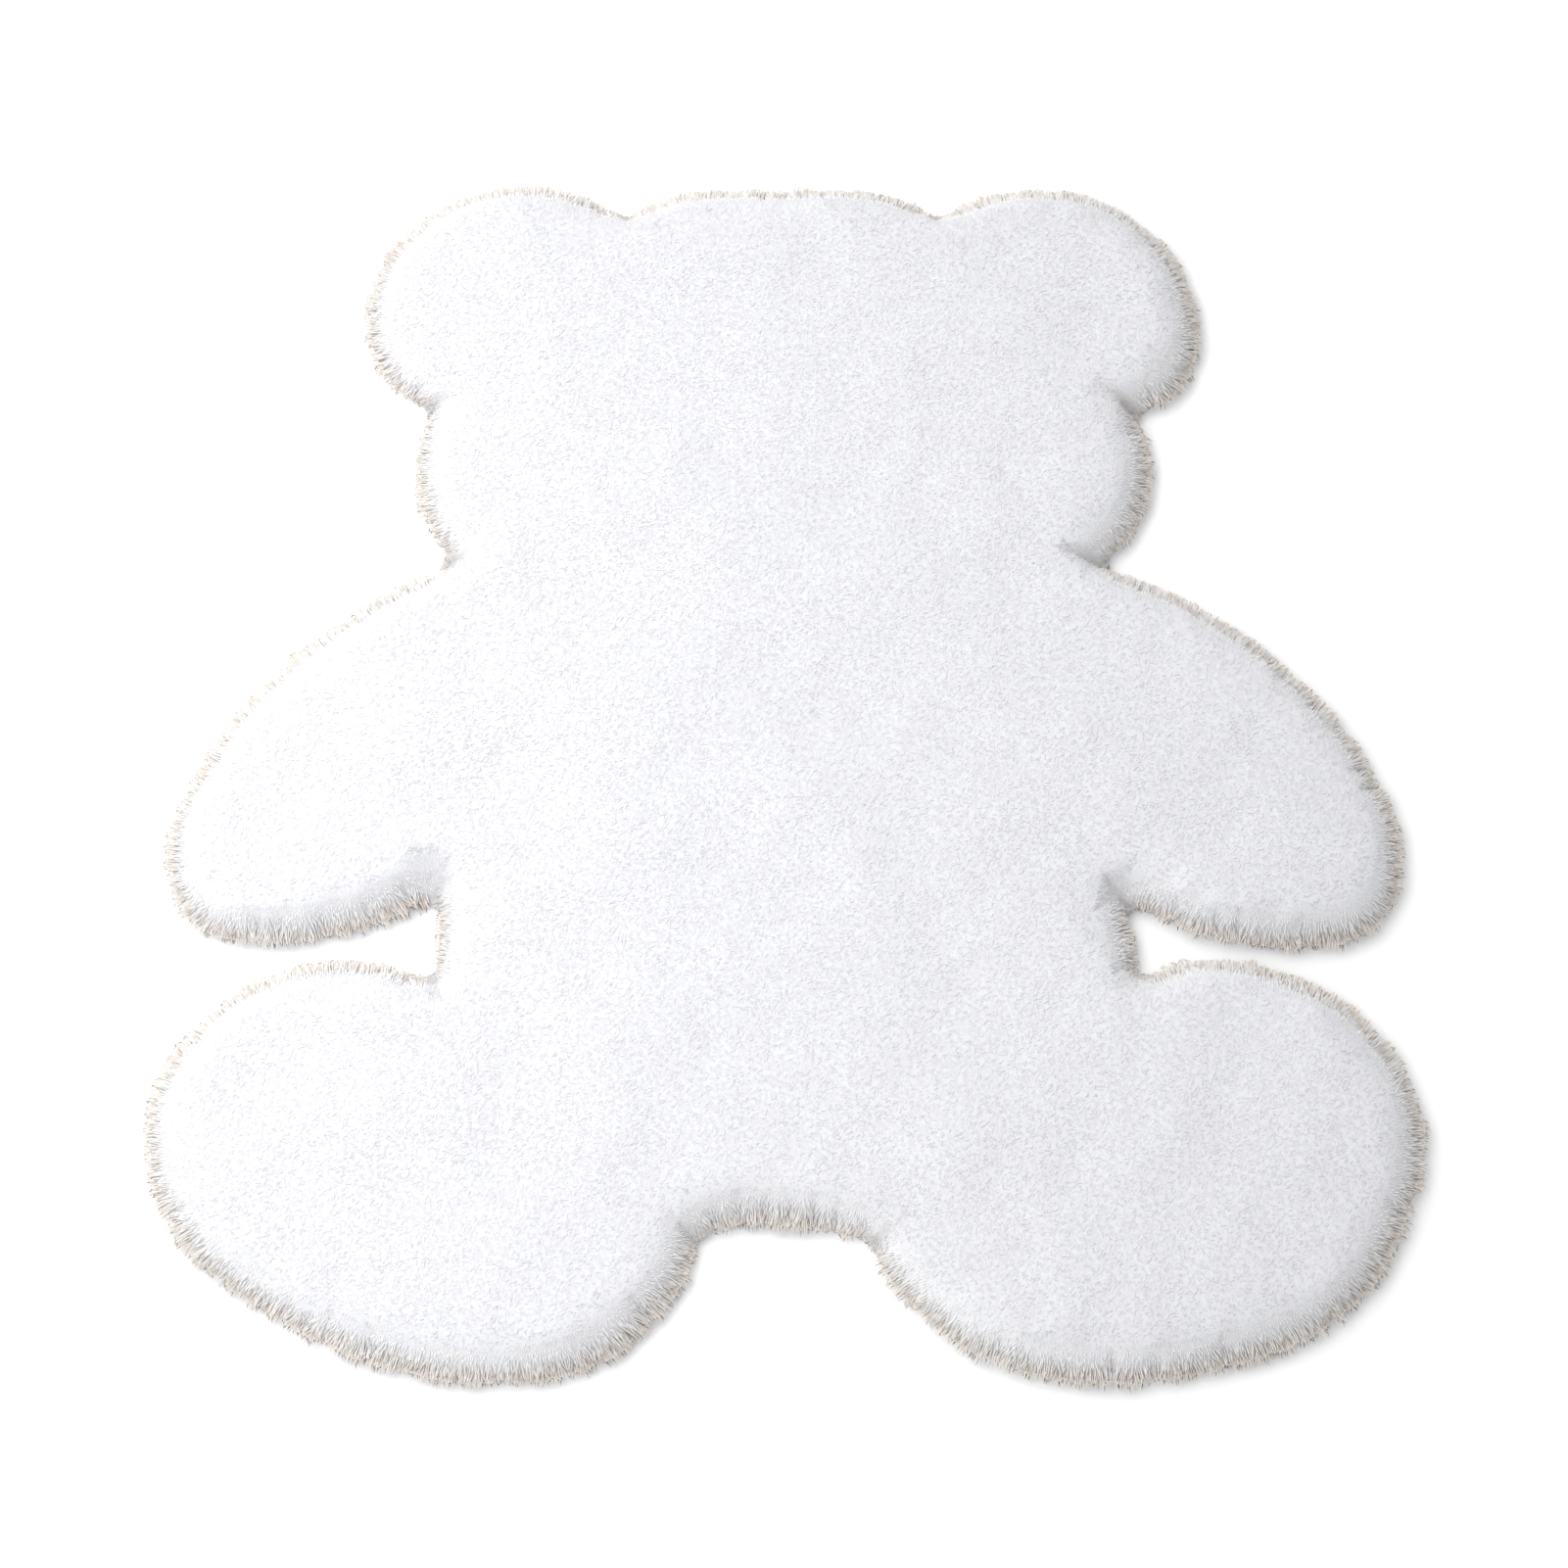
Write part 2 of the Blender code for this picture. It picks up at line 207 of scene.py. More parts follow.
groundCloth = {
    "bottom": 0.2 * mm,
    "thickness": 1.3 * mm,
    "edgeStep": 8 * mm,  # between the points of its cut edge
    "stitchWidth": 1.4 * mm,  # one wale of the knit
    "stitchHeight": 1.1 * mm,  # one course
    "loopDepth": 0.3 * mm,
    "loopBump": 0.6,  # how strongly the loops catch the light
    "yarn": "#EDEBE8",
    # painted shade down between the loops, where they lie low
    "yarnGapShade": "#C9C6C2",
}


def knittedPolyester():
    # Warp-knitted polyester ground cloth, brushed pile face up: columns of small chevron
    # loops, matt, faintly creamier than the pile, with painted shade down between the loops.
    material, tree, shader = newMaterial("warpKnittedPolyester", {
        "Roughness": 0.92, "Sheen Weight": 0.15})
    place = addNode(tree, "ShaderNodeTexCoord").outputs["Object"]
    size = (1 / groundCloth["stitchWidth"], 1 / groundCloth["stitchHeight"], 1)
    grid = addNode(tree, "ShaderNodeVectorMath", {0: place, 1: size}, operation="MULTIPLY")
    cell = addNode(tree, "ShaderNodeVectorMath", {0: grid.outputs[0]}, operation="FRACTION")
    parts = addNode(tree, "ShaderNodeSeparateXYZ", {0: cell.outputs[0]})
    away = addNode(tree, "ShaderNodeMath", {0: parts.outputs["X"], 1: 0.5}, operation="SUBTRACT")
    side = addNode(tree, "ShaderNodeMath", {0: away.outputs[0]}, operation="ABSOLUTE")
    slant = addNode(tree, "ShaderNodeMath", {0: side.outputs[0], 1: parts.outputs["Y"]},
                    operation="ADD")
    wave = addNode(tree, "ShaderNodeMath", {0: slant.outputs[0], 1: 2 * math.pi},
                   operation="MULTIPLY")
    loop = addNode(tree, "ShaderNodeMath", {0: wave.outputs[0]}, operation="SINE")
    height = addNode(tree, "ShaderNodeMapRange", {"Value": loop.outputs[0], "From Min": -1.0})
    # the yarn's white, with painted shade where the loops lie low
    colour = addNode(tree, "ShaderNodeMix", {
        "Factor": height.outputs[0], 6: linear(groundCloth["yarnGapShade"]),
        7: linear(groundCloth["yarn"])}, data_type="RGBA")
    bump = addNode(tree, "ShaderNodeBump", {
        "Strength": groundCloth["loopBump"], "Distance": groundCloth["loopDepth"],
        "Height": height.outputs[0]})
    tree.links.new(colour.outputs[2], shader.inputs["Base Color"])
    tree.links.new(bump.outputs["Normal"], shader.inputs["Normal"])
    return material


def layGroundCloth():
    line = resample(clothEdge, groundCloth["edgeStep"])
    count = len(line)
    low, high = groundCloth["bottom"], groundCloth["bottom"] + groundCloth["thickness"]
    points = [(x, y, z) for z in (low, high) for x, y in line]
    lower = fillOutline(line)
    upper = [[v + count for v in face] for face in lower]
    return finishMesh("groundCloth", points, lower + upper + band(count), knittedPolyester())


cloth = layGroundCloth()
print("laid the ground cloth")


# the undercoat is the dense body of the pile, up to just below the tips of the hairs

undercoat = {
    "bottom": 1.6 * mm,
    "reach": 8 * mm,  # how far it swells out past the cut edge of the cloth
    "tuck": 3 * mm,  # how far it is drawn in again at its foot
    "edgeHeight": 6 * mm,  # height of its widest line, from which it rolls up
    "roll": 22 * mm,  # band in which it rolls up to its full height
    "below": 0.45 * mm,  # how far it lies below the tips of the pile
    "edgeStep": 5.5 * mm,  # between the points of its widest line
    # how far in from that line each row of its mesh lies, and the spacing of the rest
    "rows": (0.5 * mm, 1.7 * mm, 3.8 * mm, 6.7 * mm, 10.4 * mm, 15 * mm, 20.5 * mm, 28 * mm),
    "spacing": 9 * mm,
    "rowKept": 0.93,  # least share of its row's distance that a point keeps from that line
    "gridClear": 0.6,  # how many spacings the rest keep from the last row
    "leastApart": 1.5 * mm,  # between any two points inside the line
    "dense": "#DFE0E4",
    # painted shade where the fibres lie low, mottled at random by the tufts
    "deep": "#DBDBDE",
    "crease": "#A8A4A1",  # down in the creases, where little light gets
    "fibre": 2.2 * mm,  # real fibres are far too fine to show, so they are drawn coarse
    "tufts": 0.12,  # scale of the tufts, as a share of that of the fibres
    "mottle": (0.75, 1.2),  # sums of both patterns that give the painted shade and the dense colour
    "bump": 0.2,
    "bumpDepth": 1.0 * mm,
}

# Creases in the coat: where each starts, at a notch of the fur line, which way and how far it
# runs in, in millimetres, and how strongly it shows
creases = {
    "rightEarAndCheek": ((290.6, 292), (-28, 18), 0.75),
    "leftEarAndCheek": ((-292.4, 297), (17, 12), 0.7),
    "rightNeck": ((257.6, 154), (-26, 6), 0.6),
    "leftNeck": ((-267.4, 157), (14, 3), 0.8),
    "rightArmpit": ((262.6, -141), (-7, 7), 0.6),
    "leftArmpit": ((-264.4, -133), (5, 14), 0.5),
    "rightHip": ((270.6, -197), (-12, -9), 0.3),
    "leftHip": ((-266.4, -199), (5, -11), 0.4),
    "rightOfCrotch": ((58.6, -411), (22, 12), 0.6),
    "leftOfCrotch": ((-61.4, -407), (-18, 8), 0.2),
    "rightEarAndCrown": ((128.6, 491), (-4, -20), 0.35),
    "leftEarAndCrown": ((-132.4, 492), (4, -20), 0.35),
}
crease = {
    "depth": 4 * mm,
    "width": 5 * mm,
    "parting": 9 * mm,  # how far on both sides the hairs lean away from it
    "trimmed": 14 * mm,  # how far round it the rim is shorter
    "fade": 0.75,  # how much of its strength it has lost at its inner end
    "rows": (0, 2.5 * mm, 5.5 * mm, 9.5 * mm),  # of the mesh, on both sides of it
    "step": 4 * mm,  # between the points of a row
}

# The rug's regions, as (name, least x, most x, least y, most y), in metres. The hairs of
# each are a piece of their own.
regions = (
    ("forehead", -1, 1, 0.31, 1),
    ("cheeks", -1, 1, 0.152, 0.31),
    ("leftArm", -1, -0.255, -0.187, 0.152),
    ("rightArm", 0.255, 1, -0.187, 0.152),
    ("chest", -0.255, 0.255, -0.02, 0.152),
    ("belly", -0.255, 0.255, -0.187, -0.02),
    ("leftFoot", -1, 0, -1, -0.187),
    ("rightFoot", 0, 1, -1, -0.187),
)
facingDown = -0.5  # a face whose normal has a lower z than this grows no hairs


def denseUnderfur():
    # Dense crimped polyester underfur: matt and white, with painted shade where its fibres lie low
    # and down in the creases.
    material, tree, shader = newMaterial("crimpedUnderfur", {
        "Roughness": 0.95, "Sheen Weight": 0.3})
    place = addNode(tree, "ShaderNodeTexCoord").outputs["Object"]
    fibres = addNode(tree, "ShaderNodeTexNoise", {
        "Vector": place, "Scale": 1 / undercoat["fibre"], "Detail": 3.0, "Roughness": 0.6})
    tufts = addNode(tree, "ShaderNodeTexNoise", {
        "Vector": place, "Scale": undercoat["tufts"] / undercoat["fibre"], "Detail": 2.0})
    both = addNode(tree, "ShaderNodeMath", {
        0: fibres.outputs["Fac"], 1: tufts.outputs["Fac"]}, operation="ADD")
    least, most = undercoat["mottle"]
    share = addNode(tree, "ShaderNodeMapRange", {
        "Value": both.outputs[0], "From Min": least, "From Max": most})
    # the fibres' own white, mottled at random, with painted shade where they lie low
    colour = addNode(tree, "ShaderNodeMix", {
        "Factor": share.outputs[0], 6: linear(undercoat["deep"]),
        7: linear(undercoat["dense"])}, data_type="RGBA")
    bump = addNode(tree, "ShaderNodeBump", {
        "Strength": undercoat["bump"], "Distance": undercoat["bumpDepth"],
        "Height": fibres.outputs["Fac"]})
    # painted shade down in the creases
    dark = addNode(tree, "ShaderNodeAttribute", attribute_name="crease").outputs["Fac"]
    shaded = addNode(tree, "ShaderNodeMix", {
        "Factor": dark, 6: colour.outputs[2], 7: linear(undercoat["crease"])},
        data_type="RGBA")
    tree.links.new(shaded.outputs[2], shader.inputs["Base Color"])
    tree.links.new(bump.outputs["Normal"], shader.inputs["Normal"])
    return material


def creasePoints():
    # rows of points along both sides of every crease, so that it is sharp in the mesh
    rows = []
    for start, run, _ in creases.values():
        start, run = np.array(start) * mm, np.array(run) * mm
        way = run / np.linalg.norm(run)
        across = np.array([-way[1], way[0]])
        steps = np.arange(0, np.linalg.norm(run) + crease["step"], crease["step"])
        for off in {side * row for row in crease["rows"] for side in (-1, 1)}:
            rows.append(start + steps[:, None] * way + across * off)
    return np.concatenate(rows)


def nearCreases(points):
    # each point's distance from its nearest crease, the way from it, and that one's strength
    near = np.full(len(points), np.inf)
    away = np.zeros((len(points), 2))
    strong = np.zeros(len(points))
    for start, run, strength in creases.values():
        start, run = np.array(start) * mm, np.array(run) * mm
        share = np.clip((points - start) @ run / (run @ run), 0, 1)
        gap = points - start - share[:, None] * run
        distance = np.linalg.norm(gap, axis=1)
        closer = distance < near
        near = np.where(closer, distance, near)
        away = np.where(closer[:, None], gap, away)
        strong = np.where(closer, strength * (1 - crease["fade"] * share ** 2), strong)
    return near, away / np.maximum(near, tiny)[:, None], strong


def undercoatPoints(line, out):
    # points all over the inside of the line: rows along its edge and a triangular grid, and
    # rows along the creases, which come first
    rows = []
    for row in undercoat["rows"]:
        inner = line - out * row
        rows.append(inner[insideOf(line, inner) > row * undercoat["rowKept"]])
    step = undercoat["spacing"]
    across = np.arange(line[:, 0].min(), line[:, 0].max(), step)
    upwards = np.arange(line[:, 1].min(), line[:, 1].max(), step * math.sqrt(0.75))
    grid = np.array([(x + step / 2 * (k % 2), y) for k, y in enumerate(upwards) for x in across])
    grid = grid[insideOf(line, grid) > undercoat["rows"][-1] + step * undercoat["gridClear"]]
    middle = np.concatenate([*rows, grid])
    middle = middle[nearCreases(middle)[0] > crease["rows"][-1] + crease["step"] / 2]
    sharp = creasePoints()
    sharp = sharp[insideOf(line, sharp) > undercoat["rows"][0]]
    return spread(np.concatenate([sharp, middle]), undercoat["leastApart"])


def store(mesh, name, kind, domain, values):
    # values kept on a mesh, for the hairs and the materials to read
    field = "vector" if kind == "FLOAT_VECTOR" else "value"
    mesh.attributes.new(name, kind, domain).data.foreach_set(field, np.ravel(values))


def shapeUndercoat():
    line = widen(resample(clothEdge, undercoat["edgeStep"]), undercoat["reach"])
    count = len(line)
    out = outwards(line)
    foot = line - out * undercoat["tuck"]
    middle = undercoatPoints(line, out)
    depth = insideOf(line, middle)
    near, away, strong = nearCreases(middle)
    # how deep each point lies in a crease: it lowers the coat there, and is painted shade too
    dark = strong * np.exp(-(near / crease["width"]) ** 2)
    parting = (strong * np.exp(-(near / crease["parting"]) ** 2))[:, None] * away
    share = np.clip(depth / undercoat["roll"], 0, 1)
    roll = np.sin(share * math.pi / 2)
    full = pileTop(slabTop, middle) - undercoat["below"] - crease["depth"] * dark
    height = undercoat["edgeHeight"] + (full - undercoat["edgeHeight"]) * roll
    height = np.maximum(height, undercoat["edgeHeight"])
    points = [(x, y, undercoat["bottom"]) for x, y in foot]
    points += [(x, y, undercoat["edgeHeight"]) for x, y in line]
    points += [(x, y, z) for (x, y), z in zip(middle, height)]
    under = fillOutline(foot)
    over = [[v + count for v in face] for face in fillOutline(line, middle)]
    piece = finishMesh("undercoat", points, over + band(count) + under, denseUnderfur())
    mesh = piece.data
    none = np.zeros(2 * count)  # for the points of the foot and of the widest line
    store(mesh, "inset", "FLOAT", "POINT", np.concatenate([none, depth]))
    # painted shade in the creases, for both materials to read
    store(mesh, "crease", "FLOAT", "POINT", np.concatenate([none, dark]))
    flat = np.concatenate([np.zeros((2 * count, 2)), parting])
    store(mesh, "parting", "FLOAT_VECTOR", "POINT", np.column_stack([flat, np.zeros(len(flat))]))
    along = np.concatenate([np.tile(nearCreases(line)[0], 2), near])
    store(mesh, "notch", "FLOAT", "POINT", np.exp(-(along / crease["trimmed"]) ** 2))
    store(mesh, "region", "INT", "FACE", [regionOf(p.center, p.normal) for p in mesh.polygons])
    return piece


def spread(points, apart):
    # the points without those that lie too near an earlier one
    kept = []
    cells = {}
    for x, y in points:
        i, j = int(x // apart), int(y // apart)
        others = [q for a in (-1, 0, 1) for b in (-1, 0, 1) for q in cells.get((i + a, j + b), ())]
        if all((x - qx) ** 2 + (y - qy) ** 2 > apart ** 2 for qx, qy in others):
            cells.setdefault((i, j), []).append((x, y))
            kept.append((x, y))
    return np.array(kept)


def regionOf(place, normal):
    # a face's region by its place, or none on the underside
    if normal.z < facingDown:
        return -1
    for i, (_, left, right, near, far) in enumerate(regions):
        if left <= place.x < right and near <= place.y < far:
            return i
    return -1


body = shapeUndercoat()
print("shaped the undercoat:", len(body.data.polygons), "faces")


# the hairs grow out of the undercoat: short and close-lying ones in the middle, and longer
# curved ones at the rim

pile = {
    "Hair Spacing": 1.5 * mm,
    "Hair Length": 1.0 * mm,
    "Hair Width": 1.6 * mm,  # a real fibre is far too fine to show, so hairs are drawn broad
    "Rim Spacing": 1.1 * mm,
    "Rim Length": 14.5 * mm,
    "Rim Width": 0.85 * mm,
    "Rim Band": 23 * mm,  # how far in from the edge the hairs of the rim go
    "Length Spread": 0.1,  # how far a hair's length differs from its neighbours', as a share
    "Clump Spacing": 5.5 * mm,
    "Clump Pull": 0.05,  # how far the hairs of a clump draw together
    "Rim Clump Pull": 0.4,  # how much more the hairs of the rim draw together
    "Ragged": 0.3,  # how far the length of the rim changes from place to place
    "Ragged Size": 20 * mm,
    "Brush": 0.4,  # how far the pile is brushed towards the head
    "Fluff": 2.6,  # how far a hair of the middle leans over, each its own way
    "Rim Fluff": 0.08,  # and how far one of the rim does
    "Comb": 1.5,  # how far the coat is combed down its sloping flank
    "Notch Trim": 0.65,  # how much shorter the rim is in its notches
    "Nap": 0.4,  # how far the brushing changes across the rug
    "Nap Size": 90 * mm,
    "Parting": 0.9,  # how far the hairs lean away from the creases
    "Droop": 0.85,  # how far the tips of the rim hang, as a share of their length
    "Least Height": 0.7 * mm,  # of any part of a hair above the floor
    "Seed": 5,
}
hair = {
    "thin": 5,  # its width over the radius of its rings, through its thickness
    "wide": 2,  # and across it
    "shortRings": [(0.0, 1.0)],  # height and width of its rings, as shares of the hair's
    "longRings": [(0.0, 1.0), (0.55, 0.85)],
    "mostHairs": 600000.0,  # tried on a square metre, before those too close to others go
    "mostClumps": 40000.0,
    "flankSlope": (0.12, 0.5),  # slopes of the coat between which it comes to be combed down
    "clumpReach": 0.7,  # share of the clump spacing at which a clump ends
    "gapPower": 3.0,  # how narrow the gaps between the clumps are
    "outerPower": 2.5,  # how near the edge the long hairs stand
    "turn": 0.5,  # how far a hair is turned about its own length, either way, in radians
    "lumps": (0.33, 0.67),  # levels of noise that give the shortest and the longest rim
    "turnSeed": 3,
    "lockSeed": 4,
    "lengthSeed": 7,
    "toneSeed": 9,
    "softness": 0.98,  # how far it is shaded as the coat around it is, from 0, by itself, to 1
    "lift": 1.8,  # how far that is turned upwards, as light that soaks through the pile does
}
pileColour = {
    "tip": "#DFDFE3",
    # a shade darker than the tip: painted shade down at the roots
    "root": "#DDDDE1",
    "flank": "#F6F6F7",  # painted light: the longer hairs down the flank are painted lighter, for the light that soaks through them
    "flankTo": 0.4,  # share of the rim band by which that is reached
    "rim": "#F0E5D8",  # the outermost hairs, a little warmer: painted warm bounce light
    "rimFrom": 0.75,  # share of the rim band at which that starts
    "shade": "#CFC0B0",  # painted shade, warm grey, low down at the rim and between its locks
    "shadeTop": 7 * mm,  # height by which that has faded
    "rootShade": 1.15,  # how strongly it shows at a hair's root, and by 1 less at its tip
    "lockShade": 0.4,  # how strongly that also shows between neighbouring locks
    "lockSpread": 0.06,  # how much darker than its neighbours a lock of the rim can be
    # painted shade down in the creases
    "crease": "#AFA9A3",
    "toneSpread": 0.01,  # how much darker than its neighbours a hair can be
    "roughness": (0.62, 0.8),
}


def hairShape(name, rings):
    # a closed three-sided hair from z 0 to 1, flat on the side that faces -x: rings gives its
    # heights and widths, up from its root
    bm = bmesh.new()
    share = bm.verts.layers.float.new("share")
    tip = bm.verts.new((0, 0, 1))
    tip[share] = 1
    before = None
    for height, width in rings:
        ring = []
        for k in range(3):
            turn = 2 * math.pi * k / 3
            vert = bm.verts.new((math.cos(turn) * width / hair["thin"],
                                 math.sin(turn) * width / hair["wide"], height))
            vert[share] = height
            ring.append(vert)
        if before:
            for k in range(3):
                a, b = ring[k], ring[(k + 1) % 3]
                c, d = before[(k + 1) % 3], before[k]
                bm.faces.new((a, d, b))
                bm.faces.new((d, c, b))
        else:
            bm.faces.new(ring)
        before = ring
    for k in range(3):
        bm.faces.new((before[k], before[(k + 1) % 3], tip))
    bmesh.ops.recalc_face_normals(bm, faces=bm.faces)
    mesh = bpy.data.meshes.new(name)
    bm.to_mesh(mesh)
    bm.free()
    pattern = addObject(name, mesh)
    pattern.hide_render = True
    return pattern


def plushHair():
    # Long polyester plush hair, cut and heat-set: white with a faintly cool tint, matt with a
    # soft sheen, and with painted shade, warmer, low down at the rim and between its locks.
    material, tree, shader = newMaterial("polyesterPlushHair", {
        "Specular IOR Level": 0.25, "Sheen Weight": 0.3, "Sheen Roughness": 0.6})
    share, tone, rim, gap, lock, dark = [
        addNode(tree, "ShaderNodeAttribute", attribute_name=name).outputs["Fac"]
        for name in ("share", "tone", "rim", "gap", "lock", "crease")]
    place = addNode(tree, "ShaderNodeTexCoord").outputs["Object"]
    # root to tip, with painted shade down at the roots
    inside = addNode(tree, "ShaderNodeMix", {
        "Factor": share, 6: linear(pileColour["root"]), 7: linear(pileColour["tip"])},
        data_type="RGBA")
    # painted light on the flank
    outward = addNode(tree, "ShaderNodeMapRange", {
        "Value": rim, "From Max": pileColour["flankTo"]}).outputs[0]
    flankLight = addNode(tree, "ShaderNodeMix", {
        "Factor": outward, 6: inside.outputs[2], 7: linear(pileColour["flank"])},
        data_type="RGBA")
    # painted warm bounce light on the outermost hairs
    edge = addNode(tree, "ShaderNodeMapRange", {
        "Value": rim, "From Min": pileColour["rimFrom"]}).outputs[0]
    warmBounce = addNode(tree, "ShaderNodeMix", {
        "Factor": edge, 6: flankLight.outputs[2], 7: linear(pileColour["rim"])},
        data_type="RGBA")
    # painted shade low down at the rim, strongest at the hairs' roots, and between its locks
    parts = addNode(tree, "ShaderNodeSeparateXYZ", {0: place})
    low = addNode(tree, "ShaderNodeMapRange", {
        "Value": parts.outputs["Z"], "From Min": 0.0, "From Max": pileColour["shadeTop"],
        "To Min": 1.0, "To Max": 0.0}, interpolation_type="SMOOTHSTEP").outputs[0]
    lowRim = addNode(tree, "ShaderNodeMath", {0: low, 1: rim}, operation="MULTIPLY").outputs[0]
    inner = addNode(tree, "ShaderNodeMath", {0: pileColour["rootShade"], 1: share},
                    operation="SUBTRACT").outputs[0]
    root = addNode(tree, "ShaderNodeMath", {0: lowRim, 1: inner}, operation="MULTIPLY").outputs[0]
    parted = addNode(tree, "ShaderNodeMath", {0: gap, 1: rim}, operation="MULTIPLY").outputs[0]
    between = addNode(tree, "ShaderNodeMath", {0: parted, 1: pileColour["lockShade"]},
                      operation="MULTIPLY").outputs[0]
    shade = addNode(tree, "ShaderNodeMath", {0: root, 1: between}, use_clamp=True).outputs[0]
    shaded = addNode(tree, "ShaderNodeMix", {
        "Factor": shade, 6: warmBounce.outputs[2], 7: linear(pileColour["shade"])}, data_type="RGBA")
    # painted shade down in the creases, on top of the trough in the mesh
    creased = addNode(tree, "ShaderNodeMix", {
        "Factor": dark, 6: shaded.outputs[2], 7: linear(pileColour["crease"])},
        data_type="RGBA")
    tones = addNode(tree, "ShaderNodeMapRange", {
        "Value": tone, "To Min": 1 - pileColour["toneSpread"], "To Max": 1.0})
    uneven = addNode(tree, "ShaderNodeMath", {0: lock, 1: rim}, operation="MULTIPLY").outputs[0]
    darker = addNode(tree, "ShaderNodeMapRange", {
        "Value": uneven, "To Min": 1.0, "To Max": 1 - pileColour["lockSpread"]}).outputs[0]
    both = addNode(tree, "ShaderNodeMath", {0: tones.outputs[0], 1: darker},
                   operation="MULTIPLY").outputs[0]
    toned = addNode(tree, "ShaderNodeVectorMath", {0: creased.outputs[2], "Scale": both},
                    operation="SCALE")
    tree.links.new(toned.outputs[0], shader.inputs["Base Color"])
    sleek, dull = pileColour["roughness"]
    rough = addNode(tree, "ShaderNodeMapRange", {"Value": tone, "To Min": sleek, "To Max": dull})
    tree.links.new(rough.outputs[0], shader.inputs["Roughness"])
    return material


def growHairs(shortHair, longHair, material):
    tree = bpy.data.node_groups.new("growHairs", "GeometryNodeTree")
    face = tree.interface
    face.new_socket("Geometry", in_out="INPUT", socket_type="NodeSocketGeometry")
    face.new_socket("Geometry", in_out="OUTPUT", socket_type="NodeSocketGeometry")
    face.new_socket("Region", in_out="INPUT", socket_type="NodeSocketInt")
    for name, value in pile.items():
        kind = "NodeSocketInt" if isinstance(value, int) else "NodeSocketFloat"
        face.new_socket(name, in_out="INPUT", socket_type=kind).default_value = value
    given = addNode(tree, "NodeGroupInput").outputs
    vector = "ShaderNodeVectorMath"

    # what is stored on the undercoat, on the roots and on the hairs
    read = {}
    for name, kind in (("inset", "FLOAT"), ("region", "INT"), ("parting", "FLOAT_VECTOR"),
                       ("notch", "FLOAT"), ("facing", "FLOAT_VECTOR"), ("isRim", "FLOAT"),
                       ("bend", "FLOAT_VECTOR"), ("share", "FLOAT")):
        read[name] = addNode(tree, "GeometryNodeInputNamedAttribute", {"Name": name},
                             data_type=kind).outputs[0]

    # the rim: 1 at the widest line of the undercoat, 0 past the rim band
    rim = addNode(tree, "ShaderNodeMapRange", {
        "Value": read["inset"], "From Min": 0.0, "From Max": given["Rim Band"], "To Min": 1.0,
        "To Max": 0.0}, interpolation_type="SMOOTHSTEP").outputs[0]
    notRim = addNode(tree, "ShaderNodeMath", {0: 1.0, 1: rim}, operation="SUBTRACT").outputs[0]

    # roots: broad hairs in the middle and finer ones at the rim
    here = addNode(tree, "FunctionNodeCompare", {2: read["region"], 3: given["Region"]},
                   data_type="INT", operation="EQUAL").outputs[0]
    upper = addNode(tree, "FunctionNodeCompare", {2: read["region"], 3: 0},
                    data_type="INT", operation="GREATER_EQUAL").outputs[0]
    ground = addNode(tree, "GeometryNodeSeparateGeometry", {
        "Geometry": given["Geometry"], "Selection": here}, domain="FACE").outputs[0]
    sown = []
    for spacing, factor, mark in (("Hair Spacing", notRim, 0.0), ("Rim Spacing", rim, 1.0)):
        spots = addNode(tree, "GeometryNodeDistributePointsOnFaces", {
            "Mesh": ground, "Distance Min": given[spacing], "Density Max": hair["mostHairs"],
            "Density Factor": factor, "Seed": given["Seed"]}, distribute_method="POISSON")
        faced = addNode(tree, "GeometryNodeStoreNamedAttribute", {
            "Geometry": spots.outputs["Points"], "Name": "facing",
            "Value": spots.outputs["Normal"]}, data_type="FLOAT_VECTOR")
        marked = addNode(tree, "GeometryNodeStoreNamedAttribute", {
            "Geometry": faced.outputs[0], "Name": "isRim", "Value": mark}, data_type="FLOAT")
        sown.append(marked.outputs[0])
    roots = addNode(tree, "GeometryNodeJoinGeometry")
    for points in sown:
        tree.links.new(points, roots.inputs[0])

    # the flank: where the coat slopes down to its edge it is combed that way
    facing = read["facing"]
    slope = addNode(tree, vector, {0: facing, 1: (1.0, 1.0, 0.0)}, operation="MULTIPLY").outputs[0]
    steep = addNode(tree, vector, {0: slope}, operation="LENGTH").outputs["Value"]
    gentlest, steepest = hair["flankSlope"]
    flank = addNode(tree, "ShaderNodeMapRange", {
        "Value": steep, "From Min": gentlest, "From Max": steepest}).outputs[0]
    sideways = addNode(tree, vector, {0: facing, 1: (0.0, 0.0, 1.0)},
                       operation="CROSS_PRODUCT").outputs[0]
    downhill = addNode(tree, vector, {0: facing, 1: sideways},
                       operation="CROSS_PRODUCT").outputs[0]
    straight = addNode(tree, vector, {0: downhill}, operation="NORMALIZE").outputs[0]
    reach = addNode(tree, "ShaderNodeMath", {0: flank, 1: given["Comb"]},
                    operation="MULTIPLY").outputs[0]
    combed = addNode(tree, vector, {0: straight, "Scale": reach}, operation="SCALE").outputs[0]

